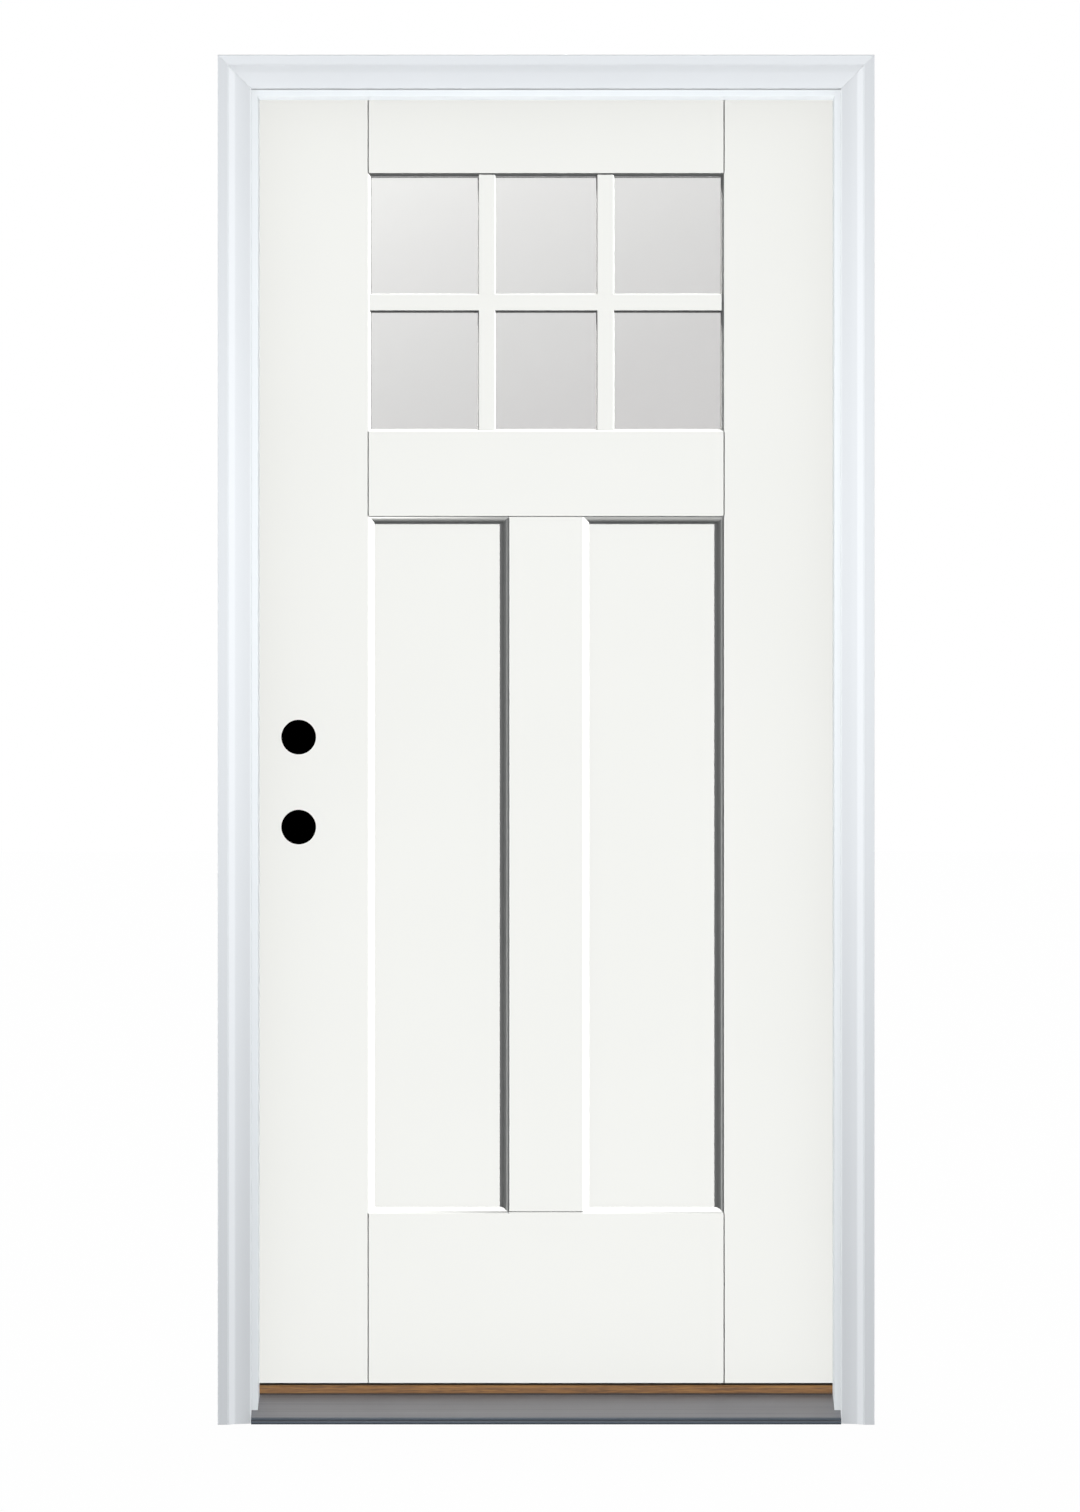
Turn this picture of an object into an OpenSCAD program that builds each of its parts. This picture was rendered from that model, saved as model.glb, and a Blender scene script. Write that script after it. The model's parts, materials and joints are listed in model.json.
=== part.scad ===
// Pre-hung exterior door: moulded-skin slab with a divided light over two
// tall panels, rabbeted jambs, brickmould casing, adjustable sill and hinges.
// +X is right seen from outside, +Y is inwards, +Z is up. The origin is under
// the middle of the sill, in the plane of the jambs' outdoor edges.

/* [Slab] */
// Width of the door slab
slab_w = 908.05; // [750:0.05:1100]
// Height of the door slab
slab_h = 2000.25; // [1660:0.05:2450]
// Thickness of the door slab
slab_t = 44.45; // [42:0.05:54]
// Thickness of each moulded skin
skin_t = 2; // [1.5:0.1:2.4]
// Width of the solid edge stiles and end rails between the skins
edge_w = 38; // [31:0.5:46]

/* [Face layout] */
// Width of each stile as drawn on the face
stile_w = 177.7; // [148:0.1:215]
// Height of the top rail as drawn on the face
top_rail_h = 121.8; // [100:0.1:150]
// Height of the glazed opening
lite_h = 401.3; // [330:0.1:490]
// Height of the middle rail as drawn on the face
mid_rail_h = 131.2; // [100:0.1:160]
// Height of the bottom rail as drawn on the face
bottom_rail_h = 263; // [215:0.1:320]
// Width of the mullion between the two panels
mullion_w = 114; // [90:0.5:140]
// Depth of the panel recesses
panel_d = 9.5; // [7:0.1:11]
// Width of the moulding around each panel
panel_mould_w = 10; // [8:0.1:14]
// Width of the seam grooves in the face
seam_w = 2; // [1.5:0.1:3]
// Depth of the seam grooves in the face
seam_d = 1.2; // [0.8:0.1:1.3]

/* [Glazing] */
// Depth of the moulding around the glazed opening
lite_d = 8; // [6:0.1:9]
// Width of the moulding around the glazed opening
lite_mould_w = 4.4; // [4:0.1:8]
// Thickness of each pane
pane_t = 3.2; // [3:0.1:5]
// Thickness of the glazing tape
tape_t = 0.8; // [0.5:0.1:1.5]
// Width of glass hidden behind the moulding
glass_bite = 9; // [7:0.5:12]
// Width of the muntin bars
muntin_w = 28; // [18:0.5:32]
// Width of the rounded edge on each side of a muntin bar
muntin_round = 2; // [1:0.1:5]
// How far the muntin bars sit below the face
muntin_in = 2.5; // [1.5:0.1:4]

/* [Frame] */
// Depth of the jambs, from outdoors to indoors
jamb_w = 115.9; // [110:0.1:170]
// Thickness of the jambs at the rabbet
jamb_t = 19.05; // [17:0.05:25]
// How far the stop stands proud of the rabbet
stop_t = 12.7; // [11.5:0.1:16]
// Gap between the slab and the rabbet
slab_gap = 3.175; // [2.6:0.005:4]
// Space for the weatherstrip between the stop and the slab
strip_gap = 8; // [6:0.1:10]
// Width of the saw kerf that holds the weatherstrip
kerf_w = 3; // [2.6:0.1:4]
// Depth of the saw kerf
kerf_d = 9.5; // [8:0.1:12]

/* [Brickmould] */
// Width of the casing
mould_w = 50.8; // [42:0.1:62]
// Thickness of the casing
mould_t = 31.75; // [27:0.05:38]
// Reveal of the jamb's edge inside the casing
reveal = 9.5; // [7:0.1:11.5]

/* [Sill] */
// Height of the ribbed nose
nose_h = 11; // [9:0.1:14]
// How far the nose stands out in front of the jambs
nose_out = 30; // [25:0.5:31.5]
// Height of the channel walls that carry the cap
riser_h = 37.3; // [32:0.1:44]
// Height of the threshold cap's top
cap_h = 51; // [46:0.1:60]
// Gap between the cap and the slab's bottom edge
under_gap = 3.25; // [2.7:0.05:4]
// Thickness of the aluminium deck
deck_t = 1.8; // [1.5:0.1:2.4]

/* [Lock preparation] */
// Diameter of the two face bores
bore_d = 54; // [45:0.1:64]
// Distance from the lock edge to the middle of the face bores
backset = 69.85; // [60:0.05:84]
// Height of the lower face bore above the slab's bottom edge
bore_h = 863; // [720:0.5:1030]
// Distance between the two face bores
bore_pitch = 139.7; // [120:0.1:165]
// Diameter of the edge bores and strike bores
edge_bore_d = 25.4; // [21.5:0.1:28]

/* [Hinges] */
// Height of a hinge
hinge_h = 101.6; // [88:0.1:122]
// Width of a leaf, from the middle of the pin
leaf_w = 50.8; // [44:0.1:54]
// Thickness of a leaf
leaf_t = 2.5; // [2:0.1:3]
// Diameter of the hinge pin
pin_d = 6.4; // [5.4:0.1:7.6]
// Distance from the slab's indoor face to the middle of the pin
pin_out = 13; // [11:0.1:15]
// Distance from the slab's top to the top hinge
top_hinge_drop = 178; // [150:1:215]
// Distance from the slab's bottom to the bottom hinge
low_hinge_rise = 279; // [235:1:335]

/* [Hidden] */

cut = 1;           // how far a cutting tool runs past the face it opens
soft_gap = 0.3;    // a seal's clearance from the slab or the cap
fit_gap = 0.1;     // clearance around a let-in leaf
turn_gap = 0.05;   // radial clearance of a pin or a screw in its hole
bore_fn = 96;
round_fn = 40;

// Slab
slab_x = slab_w / 2;
slab_z0 = cap_h + under_gap;
slab_z1 = slab_z0 + slab_h;
face_y = jamb_w - slab_t;
mid_y = face_y + slab_t / 2;
core_t = slab_t - 2 * skin_t;
core_y = face_y + skin_t;

// Face layout
seam_x = slab_x - stile_w;
lite_z1 = slab_z1 - top_rail_h;
lite_z0 = lite_z1 - lite_h;
panel_z1 = lite_z0 - mid_rail_h;
panel_z0 = slab_z0 + bottom_rail_h;
seam_run = 1;        // a mullion seam runs this far out into the recesses
mullion_seam_in = 2.4; // its middle stands this far inside the recess's end
seam_draft = 0.15;   // a seam's walls lean out by this much
arris = 0.9;       // small square step at the top of each moulding
arris_in = 0.4;
ovolo_start = 38;  // the angle at which a moulding's curve starts

// Glazing, as depths below a face
glass_d = lite_d + skin_t + tape_t;
sight_x = seam_x - lite_mould_w;
sight_z0 = lite_z0 + lite_mould_w;
sight_z1 = lite_z1 - lite_mould_w;
pane_x = sight_x + glass_bite;
pane_z0 = sight_z0 - glass_bite;
pane_z1 = sight_z1 + glass_bite;
block_t = 3;       // setting block, and the space all round the glass unit
block_l = 100;
spacer_w = glass_bite - 0.5;
surround_w = 28;   // from the pane's edge to the outside of the surround
muntin_side = 2;
muntin_flat = muntin_w - 2 * muntin_round;
muntin_x = seam_x / 3;
muntin_z = (lite_z0 + lite_z1) / 2;

// Frame
rabbet_x = slab_x + slab_gap;
stop_x = rabbet_x - stop_t;
jamb_x = rabbet_x + jamb_t;
stop_y = face_y - strip_gap;
head_z = slab_z1 + slab_gap;
stop_z = head_z - stop_t;
frame_h = head_z + jamb_t;
kerf_in = 3;       // wood left between the rabbet and the kerf
pad_h = 32;        // corner pads under the side strips
strip_in = 0.5;    // the strip's inset from the rabbet and the stop's edge
strip_base = 3;    // straight part of the strip before its round front

// Brickmould, as distances from its inner edge and heights off the wall
mould_x = stop_x + reveal;
mould_z = stop_z + reveal;
mould_flat = 15.8;
quirk_w = 1.2;
quirk_d = 1.4;
bevel_w = 7.6;
bevel_d = 7.2;
lip_w = 3;
cove_n = 8;
cove_pow = 1.4;       // how hollow the slope inside the bevel is; 1 is straight
lip_r = 2.4;
lip_t = mould_t / 2;
edge_r = 1.6;
relief_w = 4;
relief_d = 1.5;

// Sill
rib_out = 1.6;
rib_h = 2.3;       // half the height of a rib
nose_y = -nose_out + rib_out;
nose_t = 3;
chan_y0 = stop_y - 0.25;
chan_y1 = jamb_w - 4;
chan_z = riser_h - 11.3;
deck_slope = (riser_h - nose_h) / (chan_y0 - nose_y);
deck_drop = deck_t * sqrt(1 + deck_slope * deck_slope);
cap_y0 = chan_y0 - 1.2;
cap_r = 4;
tongue_gap = 0.3;
sill_end_gap = 0.4;
function deck_z(y) = nose_h + (y - nose_y) * deck_slope;

// Door sweep
sweep_rebate = 6;
sweep_base = 2.4;
sweep_in = 1;
fin_t = 1.6;
fins = 5;
barb_t = 2.4;
barb_h = 9;

// Lock preparation
bore_x = -slab_x + backset;
bore_z = [slab_z0 + bore_h, slab_z0 + bore_h + bore_pitch];
face_plate = [57.15, 25.4, 2.4];
strike_plate = [57.15, 28.6, 1.6];
strike_bore_d = edge_bore_d - 3.2;
block_x1 = bore_x + 84;
block_margin = 140;

// Hinges
axis_x = slab_x + slab_gap / 2;
axis_y = jamb_w + pin_out;
knuckle_r = 7;
knuckle_gap = 0.3;
knuckles = 5;
leaf_y0 = axis_y - leaf_w;
leaf_r = 15.9;
leaf_clear = 0.3;  // from a leaf to the other leaf's knuckles
hinge_low_z = slab_z0 + low_hinge_rise + hinge_h / 2;
hinge_top_z = slab_z1 - top_hinge_drop - hinge_h / 2;
hinge_mid_z = (hinge_low_z + hinge_top_z) / 2;
hinge_zs = [hinge_low_z, hinge_mid_z, hinge_top_z];
screw_rows = [-0.375, -0.125, 0.125, 0.375];
screw_near = leaf_y0 + 9.5;
screw_far = jamb_w - 10.5;
screw_r = 2.1;
screw_head_r = 4.2;
screw_head_h = 2.1;
jamb_screw_l = 16;
door_screw_l = 26;
frame_screw_l = 50;
cap_screw_n = 5;
cap_screw_pitch = slab_w / 5;
cap_screw_y = (chan_y0 + chan_y1) / 2;

white = [0.95, 0.95, 0.94];
casing_white = [0.87, 0.89, 0.91];
bright_white = [0.94, 0.96, 0.97];
seal_grey = [0.45, 0.45, 0.46];
deck_grey = [0.5, 0.5, 0.52];
oak = [0.6, 0.42, 0.25];
pine = [0.84, 0.71, 0.5];
steel = [0.72, 0.72, 0.73];

// ---- Ways to place an outline ----

// An outline in Y and Z, run along X about the middle.
module along_x(length) {
    translate([-length / 2, 0, 0]) rotate([90, 0, 90]) linear_extrude(length) children();
}

// An outline in X and Z, run along Y from y0 to y1.
module along_y(y0, y1) {
    translate([0, y1, 0]) rotate([90, 0, 0]) linear_extrude(y1 - y0) children();
}

module along_z(z0, z1) {
    translate([0, 0, z0]) linear_extrude(z1 - z0) children();
}

// A box from its lowest to its highest corner.
module block(low, high) {
    translate(low) cube(high - low);
}

// Depths below a face, turned into the outdoor or the indoor side of the slab.
module outdoor_side() {
    translate([0, face_y, 0]) children();
}

module indoor_side() {
    translate([0, face_y + slab_t, 0]) mirror([0, 1, 0]) children();
}

module strike_side() {
    mirror([1, 0, 0]) children();
}

function arc(centre, rx, ry, from, to, n) =
    [for (i = [0:n]) let (a = from + (to - from) * i / n) centre + [rx * cos(a), ry * sin(a)]];

// ---- Frame ----

// Section of a jamb on the hinge side: board, stop and kerf.
module jamb_section() {
    kerf_x1 = rabbet_x - kerf_in;
    polygon([
        [jamb_x, 0], [jamb_x, jamb_w], [rabbet_x, jamb_w], [rabbet_x, stop_y],
        [kerf_x1, stop_y], [kerf_x1, stop_y - kerf_d],
        [kerf_x1 - kerf_w, stop_y - kerf_d], [kerf_x1 - kerf_w, stop_y],
        [stop_x, stop_y], [stop_x, 0]
    ]);
}

// Everything that the sill and its cap take up between the jambs.
module sill_space() {
    along_x(2 * rabbet_x) polygon([
        [nose_y, -cut], [nose_y, nose_h], [cap_y0, deck_z(cap_y0)], [cap_y0, cap_h],
        [jamb_w + cut, cap_h], [jamb_w + cut, -cut]
    ]);
}

// A wood screw along +X, its head's face at the origin.
module screw(length) {
    rotate([0, 90, 0]) {
        cylinder(h = screw_head_h, r1 = screw_head_r, r2 = screw_r, $fn = round_fn);
        cylinder(h = length, r = screw_r, $fn = round_fn);
    }
}

// The hole that takes it, with the same head.
module screw_hole(length) {
    rotate([0, 90, 0]) {
        translate([0, 0, -turn_gap])
            cylinder(h = screw_head_h, r1 = screw_head_r + turn_gap,
                     r2 = screw_r + turn_gap, $fn = round_fn);
        translate([0, 0, -cut])
            cylinder(h = length + cut + turn_gap, r = screw_r + turn_gap, $fn = round_fn);
    }
}

// Places of the screws that join a side jamb to the head and to the sill.
module at_frame_screws() {
    for (y = [0.25, 0.8] * jamb_w, z = [riser_h / 3, head_z + jamb_t / 2])
        translate([jamb_x, y, z]) mirror([1, 0, 0]) children();
}

module side_jamb() {
    difference() {
        along_z(0, frame_h) jamb_section();
        sill_space();
        at_frame_screws() screw_hole(frame_screw_l);
    }
}

module strike_jamb() {
    color(bright_white) difference() {
        strike_side() side_jamb();
        for (z = bore_z) translate([-rabbet_x, mid_y, z]) {
            block([-strike_plate[2], -strike_plate[1] / 2, -strike_plate[0] / 2],
                  [cut, strike_plate[1] / 2, strike_plate[0] / 2]);
            rotate([0, -90, 0]) cylinder(h = jamb_t + cut, d = strike_bore_d, $fn = bore_fn);
        }
    }
}

module hinge_jamb() {
    color(bright_white) difference() {
        side_jamb();
        at_hinges() leaf_pocket(1);
        at_jamb_screws() screw_hole(jamb_screw_l);
    }
}

module head_jamb() {
    kerf_z1 = head_z - kerf_in;
    color(bright_white) difference() {
        along_x(2 * rabbet_x) polygon([
            [0, stop_z], [0, frame_h], [jamb_w, frame_h], [jamb_w, head_z], [stop_y, head_z],
            [stop_y, kerf_z1], [stop_y - kerf_d, kerf_z1],
            [stop_y - kerf_d, kerf_z1 - kerf_w], [stop_y, kerf_z1 - kerf_w], [stop_y, stop_z]
        ]);
        for (side = [-1, 1])
            block([min(side * stop_x, side * (rabbet_x + cut)), -cut, stop_z - cut],
                  [max(side * stop_x, side * (rabbet_x + cut)), stop_y, frame_h + cut]);
        at_frame_screws() screw_hole(frame_screw_l);
        strike_side() at_frame_screws() screw_hole(frame_screw_l);
    }
}

module frame_screws() {
    color(steel) {
        at_frame_screws() screw(frame_screw_l);
        strike_side() at_frame_screws() screw(frame_screw_l);
    }
}

// Section of the casing: distance from its inner edge, and height off the wall.
function casing_outline() =
    let (
        flat_s = mould_w - mould_flat,
        bevel_s = flat_s - quirk_w,
        cove_s = bevel_s - bevel_w,
        cove_h = mould_t - bevel_d
    ) concat(
        [[0, 0], [mould_w / 2, 0], [mould_w / 2, relief_d],
         [mould_w / 2 + relief_w, relief_d], [mould_w / 2 + relief_w, 0], [mould_w, 0]],
        arc([mould_w - edge_r, mould_t - edge_r], edge_r, edge_r, 0, 90, 4),
        [[flat_s, mould_t], [flat_s, mould_t - quirk_d], [bevel_s, mould_t - quirk_d]],
        [[cove_s, cove_h - quirk_d]],
        [for (i = [1:cove_n]) let (t = 1 - i / cove_n) [
            lip_w + (cove_s - lip_w) * t,
            lip_t + (cove_h - quirk_d - lip_t) * pow(t, cove_pow)
        ]],
        arc([lip_r, lip_t - lip_r], lip_r, lip_r, 90, 180, 5)
    );

module hinge_side_casing() {
    intersection() {
        along_z(0, mould_z + mould_w)
            polygon([for (p = casing_outline()) [mould_x + p[0], -p[1]]]);
        along_y(-mould_t - cut, cut) polygon([
            [mould_x, 0], [mould_x + mould_w, 0],
            [mould_x + mould_w, mould_z + mould_w], [mould_x, mould_z]
        ]);
    }
}

module hinge_brickmould() { color(casing_white) hinge_side_casing(); }

module strike_brickmould() { color(casing_white) strike_side() hinge_side_casing(); }

module head_brickmould() {
    out_x = mould_x + mould_w;
    color(casing_white) intersection() {
        along_x(2 * out_x) polygon([for (p = casing_outline()) [-p[1], mould_z + p[0]]]);
        along_y(-mould_t - cut, cut) polygon([
            [-mould_x, mould_z], [mould_x, mould_z],
            [out_x, mould_z + mould_w], [-out_x, mould_z + mould_w]
        ]);
    }
}

// Section of a compressed bulb strip: u across the stop, v from the stop to the slab.
function strip_outline() =
    let (
        u0 = strip_in, u1 = stop_t - strip_in, front = strip_gap - soft_gap,
        leg0 = kerf_in + soft_gap, leg1 = kerf_in + kerf_w - soft_gap
    ) concat(
        [[u0, 0]],
        arc([(u0 + u1) / 2, strip_base], (u0 - u1) / 2, front - strip_base, 0, 180, 10),
        [[u1, 0], [leg1, 0], [leg1, cut - kerf_d], [leg0, cut - kerf_d], [leg0, 0]]
    );

module side_strip() {
    along_z(cap_h + pad_h, head_z - strip_in)
        polygon([for (p = strip_outline()) [rabbet_x - p[0], stop_y + p[1]]]);
}

module hinge_weatherstrip() { color(seal_grey) side_strip(); }

module strike_weatherstrip() { color(seal_grey) strike_side() side_strip(); }

module head_weatherstrip() {
    color(seal_grey) along_x(2 * stop_x)
        polygon([for (p = strip_outline()) [stop_y + p[1], head_z - p[0]]]);
}

module corner_pad() {
    block([stop_x + strip_in, stop_y, cap_h], [rabbet_x, face_y - soft_gap, cap_h + pad_h]);
}

module corner_pads() {
    color(seal_grey) {
        corner_pad();
        strike_side() corner_pad();
    }
}

// ---- Sill ----

// Takes the ends of the nose back to fit between the casings.
module between_casings() {
    difference() {
        children();
        for (side = [0, 1]) mirror([side, 0, 0])
            block([mould_x - sill_end_gap, nose_y - 2 * rib_out, -cut],
                  [rabbet_x + cut, 0, riser_h]);
        at_frame_screws() screw_hole(frame_screw_l);
        strike_side() at_frame_screws() screw_hole(frame_screw_l);
    }
}

module sill_deck() {
    ribs = [for (z = [nose_h * 0.27, nose_h * 0.73], a = [0:30:180])
        [nose_y - rib_out * sin(a), z - rib_h * cos(a)]];
    color(deck_grey) between_casings() along_x(2 * rabbet_x) polygon(concat(
        [[nose_y, 0]], ribs, [[nose_y, nose_h]],
        [[chan_y0, riser_h], [chan_y0 + deck_t, riser_h],
         [chan_y0 + deck_t, chan_z + deck_t], [chan_y1 - deck_t, chan_z + deck_t],
         [chan_y1 - deck_t, riser_h], [chan_y1, riser_h], [chan_y1, chan_z], [chan_y0, chan_z],
         [chan_y0, riser_h - deck_drop],
         [nose_y + nose_t, deck_z(nose_y + nose_t) - deck_drop], [nose_y + nose_t, 0]]
    ));
}

module sill_substrate() {
    color(pine) between_casings() along_x(2 * rabbet_x) polygon([
        [nose_y + nose_t, 0], [nose_y + nose_t, deck_z(nose_y + nose_t) - deck_drop],
        [chan_y0, riser_h - deck_drop], [chan_y0, chan_z], [chan_y1, chan_z],
        [chan_y1, riser_h], [jamb_w, riser_h], [jamb_w, 0]
    ]);
}

module at_cap_screws() {
    for (i = [0:cap_screw_n - 1])
        translate([(i - (cap_screw_n - 1) / 2) * cap_screw_pitch, cap_screw_y, cap_h])
            rotate([0, 90, 0]) children();
}

module threshold_cap() {
    tongue_y0 = chan_y0 + deck_t + tongue_gap;
    tongue_y1 = chan_y1 - deck_t - tongue_gap;
    tongue_z = chan_z + deck_t + 2;
    color(oak) difference() {
        along_x(2 * rabbet_x) polygon(concat(
            [[cap_y0, riser_h]],
            arc([cap_y0 + cap_r, cap_h - cap_r], cap_r, cap_r, 180, 90, 5),
            arc([jamb_w - cap_r, cap_h - cap_r], cap_r, cap_r, 90, 0, 5),
            [[jamb_w, riser_h], [tongue_y1, riser_h], [tongue_y1, tongue_z],
             [tongue_y0, tongue_z], [tongue_y0, riser_h]]
        ));
        at_cap_screws() screw_hole(cap_h - tongue_z + cut);
    }
}

module cap_screws() {
    color(steel) at_cap_screws() screw(cap_h - chan_z - deck_t);
}

// ---- Slab ----

// One side of a moulding: how far in, and how deep, along a rounded slope.
function slope(w, d, n) = concat(
    [[0, 0]],
    [for (i = [0:n]) let (a = ovolo_start + (90 - ovolo_start) * i / n) [
        arris_in + (w - arris_in) * (sin(a) - sin(ovolo_start)) / (1 - sin(ovolo_start)),
        arris + (d - arris) * (cos(ovolo_start) - cos(a)) / cos(ovolo_start)
    ]]
);

// Section of a recess between a and b, from the depth top down; grow makes the
// back of the skin that lines it.
function recess_outline(a, b, w, d, n, grow, top, bottom) =
    let (side = slope(w, d, n), last = len(side) - 1) concat(
        [[a - grow, top]],
        [for (p = side) [a - grow + p[0], p[1] + grow]],
        bottom > d + grow ? [[a - grow + w, bottom], [b + grow - w, bottom]] : [],
        [for (i = [last:-1:0]) [b + grow - side[i][0], side[i][1] + grow]],
        [[b + grow, top]]
    );

// A recess with mitred corners, in depths below a face.
module recess(x0, x1, z0, z1, w, d, n, grow, bottom) {
    top = grow > 0 ? grow / 2 : -cut;
    intersection() {
        along_z(z0 - grow, z1 + grow)
            polygon(recess_outline(x0, x1, w, d, n, grow, top, bottom));
        translate([(x0 + x1) / 2, 0, 0]) along_x(x1 - x0 + 2 * grow)
            polygon([for (p = recess_outline(z0, z1, w, d, n, grow, top, bottom)) [p[1], p[0]]]);
    }
}

module panel_recesses(grow) {
    for (x = [[-seam_x, -mullion_w / 2], [mullion_w / 2, seam_x]])
        recess(x[0], x[1], panel_z0, panel_z1, panel_mould_w, panel_d, 5, grow, 0);
}

// The glazed opening; bottom runs it straight on down to that depth.
module lite_recess(grow, bottom) {
    recess(-seam_x, seam_x, lite_z0, lite_z1, lite_mould_w, lite_d, 4, grow, bottom);
}

module seam(x, z0, z1) {
    along_z(z0, z1) polygon([[x - seam_w / 2, 0], [x - seam_w / 2, -cut],
        [x + seam_w / 2, -cut], [x + seam_w / 2, 0],
        [x + seam_w / 2 - seam_draft, seam_d], [x - seam_w / 2 + seam_draft, seam_d]]);
}

module mullion_seam(z) {
    along_x(mullion_w + 2 * seam_run) polygon([[0, z - seam_w / 2], [-cut, z - seam_w / 2],
        [-cut, z + seam_w / 2], [0, z + seam_w / 2],
        [seam_d, z + seam_w / 2 - seam_draft], [seam_d, z - seam_w / 2 + seam_draft]]);
}

module seams() {
    for (x = [-seam_x, seam_x]) {
        seam(x, lite_z1, slab_z1 + cut);
        seam(x, panel_z1, lite_z0);
        seam(x, slab_z0 - cut, panel_z0);
    }
    mullion_seam(panel_z1 - seam_w / 2);
    mullion_seam(panel_z0 + mullion_seam_in);
}

module face_bores() {
    for (z = bore_z) translate([bore_x, face_y - cut, z])
        rotate([-90, 0, 0]) cylinder(h = slab_t + 2 * cut, d = bore_d, $fn = bore_fn);
}

module edge_bores() {
    for (z = bore_z) translate([-slab_x, mid_y, z]) {
        translate([-cut, 0, 0]) rotate([0, 90, 0])
            cylinder(h = backset + cut, d = edge_bore_d, $fn = bore_fn);
        block([-cut, -face_plate[1] / 2, -face_plate[0] / 2],
              [face_plate[2], face_plate[1] / 2, face_plate[0] / 2]);
    }
}

// One skin, its face at depth 0.
module skin() {
    difference() {
        union() {
            block([-slab_x, 0, slab_z0], [slab_x, skin_t, slab_z1]);
            panel_recesses(skin_t);
            lite_recess(skin_t, 0);
        }
        panel_recesses(0);
        lite_recess(0, lite_d + skin_t + cut);
        seams();
    }
}

module exterior_skin() {
    color(white) difference() {
        outdoor_side() skin();
        face_bores();
    }
}

module interior_skin() {
    color(white) difference() {
        indoor_side() skin();
        face_bores();
        at_hinges() leaf_pocket(-1);
    }
}

module stile_block(x0, x1) {
    block([x0, core_y, slab_z0 + sweep_rebate], [x1, core_y + core_t, slab_z1]);
}

module sweep_barbs(grow) {
    for (y = [0.25, 0.75])
        along_x(2 * slab_x + 2 * cut) translate([core_y + core_t * y, slab_z0 + sweep_rebate])
            translate([-barb_t / 2 - grow, -cut]) square([barb_t + 2 * grow, barb_h + cut + grow]);
}

module lock_stile() {
    color(pine) difference() {
        stile_block(-slab_x, -slab_x + edge_w);
        edge_bores();
        sweep_barbs(soft_gap);
    }
}

module hinge_stile() {
    color(pine) difference() {
        stile_block(slab_x - edge_w, slab_x);
        at_hinges() leaf_pocket(-1);
        at_door_screws() screw_hole(door_screw_l);
        sweep_barbs(soft_gap);
    }
}

module top_rail() {
    x = slab_x - edge_w;
    color(pine) block([-x, core_y, slab_z1 - edge_w], [x, core_y + core_t, slab_z1]);
}

module bottom_rail() {
    x = slab_x - edge_w;
    z = slab_z0 + sweep_rebate;
    color(pine) difference() {
        block([-x, core_y, z], [x, core_y + core_t, z + edge_w]);
        sweep_barbs(soft_gap);
    }
}

module lock_block_body() {
    block([-slab_x + edge_w, core_y, bore_z[0] - block_margin],
          [block_x1, core_y + core_t,
           min(bore_z[1] + block_margin, pane_z0 - surround_w)]);
}

module lock_block() {
    color(pine) difference() {
        lock_block_body();
        face_bores();
        edge_bores();
    }
}

module surround_body() {
    block([-pane_x - surround_w, core_y, pane_z0 - surround_w],
          [pane_x + surround_w, core_y + core_t, pane_z1 + surround_w]);
}

module foam_core() {
    x = slab_x - edge_w;
    color([0.93, 0.88, 0.7]) difference() {
        block([-x, core_y, slab_z0 + sweep_rebate + edge_w],
              [x, core_y + core_t, slab_z1 - edge_w]);
        lock_block_body();
        surround_body();
        outdoor_side() panel_recesses(skin_t);
        indoor_side() panel_recesses(skin_t);
    }
}

module door_sweep() {
    top_z = slab_z0 + sweep_rebate;
    fin_z = cap_h + soft_gap;
    pitch = (core_t - 2 * sweep_in - fin_t) / (fins - 1);
    color(seal_grey) union() {
        along_x(2 * slab_x - 2 * sweep_in) {
            translate([core_y, top_z - sweep_base]) square([core_t, sweep_base]);
            for (i = [0:fins - 1]) translate([core_y + sweep_in + i * pitch, fin_z])
                square([fin_t, top_z - sweep_base / 2 - fin_z]);
            for (y = [0.25, 0.75])
                translate([core_y + core_t * y - barb_t / 2, top_z - sweep_base / 2])
                    square([barb_t, barb_h + sweep_base / 2]);
        }
    }
}

// ---- Glazing ----

module glazing_surround() {
    space = block_t;
    color([0.9, 0.9, 0.9]) difference() {
        surround_body();
        outdoor_side() lite_recess(skin_t, 0);
        indoor_side() lite_recess(skin_t, 0);
        block([-pane_x - space, face_y + lite_d + skin_t, pane_z0 - space],
              [pane_x + space, face_y + slab_t - lite_d - skin_t, pane_z1 + space]);
    }
}

// A rectangular ring in the glass's outline, w wide.
module glass_ring(y0, y1, w) {
    difference() {
        block([-pane_x, y0, pane_z0], [pane_x, y1, pane_z1]);
        block([-pane_x + w, y0 - cut, pane_z0 + w], [pane_x - w, y1 + cut, pane_z1 - w]);
    }
}

module tape_ring() { glass_ring(glass_d - tape_t, glass_d, glass_bite); }

module pane() { block([-pane_x, glass_d, pane_z0], [pane_x, glass_d + pane_t, pane_z1]); }

module exterior_glazing_tape() { color(seal_grey) outdoor_side() tape_ring(); }

module interior_glazing_tape() { color(seal_grey) indoor_side() tape_ring(); }

module exterior_pane() { color([0.8, 0.82, 0.82, 0.5]) outdoor_side() pane(); }

module interior_pane() { color([0.8, 0.82, 0.82, 0.5]) indoor_side() pane(); }

module glass_spacer() {
    color([0.75, 0.76, 0.78]) glass_ring(face_y + glass_d + pane_t,
                                         face_y + slab_t - glass_d - pane_t, spacer_w);
}

module setting_blocks() {
    color([0.2, 0.2, 0.2]) for (x = [-1, 1] * pane_x / 2)
        block([x - block_l / 2, face_y + glass_d, pane_z0 - block_t],
              [x + block_l / 2, face_y + slab_t - glass_d, pane_z0]);
}

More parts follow.
